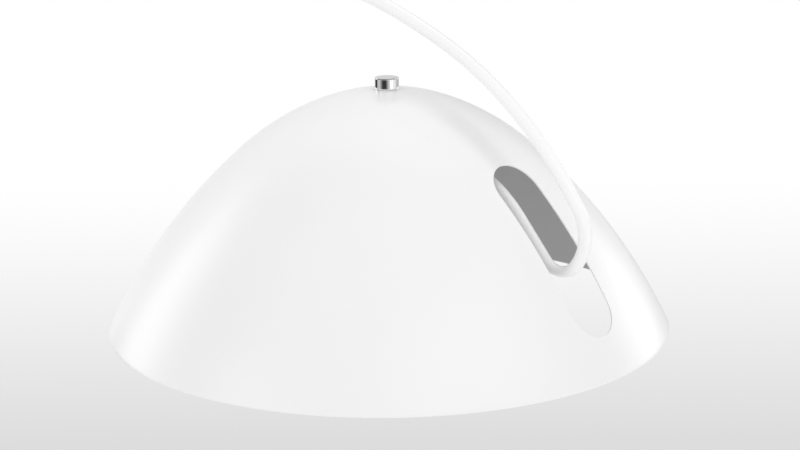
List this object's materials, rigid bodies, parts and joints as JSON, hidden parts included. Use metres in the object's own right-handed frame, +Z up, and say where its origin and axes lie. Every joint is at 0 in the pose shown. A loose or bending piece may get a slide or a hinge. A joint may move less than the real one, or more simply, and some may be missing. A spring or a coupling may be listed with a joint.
{
  "type": "arc floor lamp",
  "caption": "Floor lamp with a heavy round base, a thin stem that arcs over and hooks through a slot into a wide tilting dome shade topped by a small knob.",
  "frame": {"origin": "centre of the base's underside, on the floor, in line with the upright stem", "axes": "+Z up along the upright stem; the arc lies in the XZ plane and carries the shade on the +X side"},
  "size_m": [1.5705, 0.4998, 2.0182],
  "materials": {
    "shade_paint": "white powder coat, satin",
    "stem_paint": "white powder coat, satin",
    "base_paint": "white powder coat, satin",
    "knob_chrome": "polished chrome plate",
    "cast_iron": "bare sand-cast iron, dark primer",
    "zinc_steel": "bright zinc plate",
    "turned_steel": "turned bright steel",
    "nickel_brass": "bare turned brass",
    "pad_rubber": "matte black foam rubber",
    "grommet_rubber": "white soft rubber",
    "washer_nylon": "natural nylon",
    "holder_plastic": "white moulded thermoplastic, fine satin",
    "ceramic": "glazed white ceramic",
    "terminal_plastic": "natural polyamide",
    "lead_sheath": "white pvc sheath, slightly glossy",
    "bulb_opal": "opal white glass, smooth",
    "bulb_cap_metal": "rolled aluminium lamp cap",
    "bulb_black": "black glass insulator"
  },
  "bodies": {
    "stand": {"base_pad": "pad_rubber", "base_weight": "cast_iron", "base_cover": "base_paint", "inlet_grommet": "grommet_rubber", "terminal_block": "terminal_plastic", "terminal_screws": "zinc_steel", "stem_socket": "base_paint", "socket_washer": "zinc_steel", "socket_nut": "zinc_steel", "socket_grub_screws": "turned_steel", "riser_tube": "stem_paint", "stem_spigot": "turned_steel", "arc_tube": "stem_paint", "stem_lead": "lead_sheath", "joint_block": "zinc_steel", "block_grub_screw": "turned_steel", "pivot_screws": "zinc_steel", "friction_washers": "washer_nylon", "holder_nipple": "zinc_steel", "nipple_nut": "nickel_brass", "holder_cap": "holder_plastic", "holder_skirt": "holder_plastic", "holder_core": "ceramic", "contact_screws": "nickel_brass", "screw_shell": "nickel_brass", "centre_contact": "nickel_brass", "bulb_tip": "bulb_cap_metal", "bulb_insulator": "bulb_black", "bulb_cap": "bulb_cap_metal", "bulb_glass": "bulb_opal"},
    "shade": {"yoke": "zinc_steel", "spindle": "turned_steel", "spindle_nut": "zinc_steel", "seat_washer": "zinc_steel", "shade": "shade_paint", "knob_washer": "washer_nylon"},
    "knob": {"knob": "knob_chrome"}
  },
  "joints": [
    {"name": "shade_tilt", "type": "hinge", "parent": "stand", "child": "shade", "pos_m": [1.10838, 0, 1.84946], "axis": [0, 1, 0], "range_deg": [-25, 5]},
    {"name": "knob_turn", "type": "hinge", "parent": "shade", "child": "knob", "pos_m": [1.10838, 0, 1.89946], "axis": [0, 0, 1], "continuous": true}
  ]
}
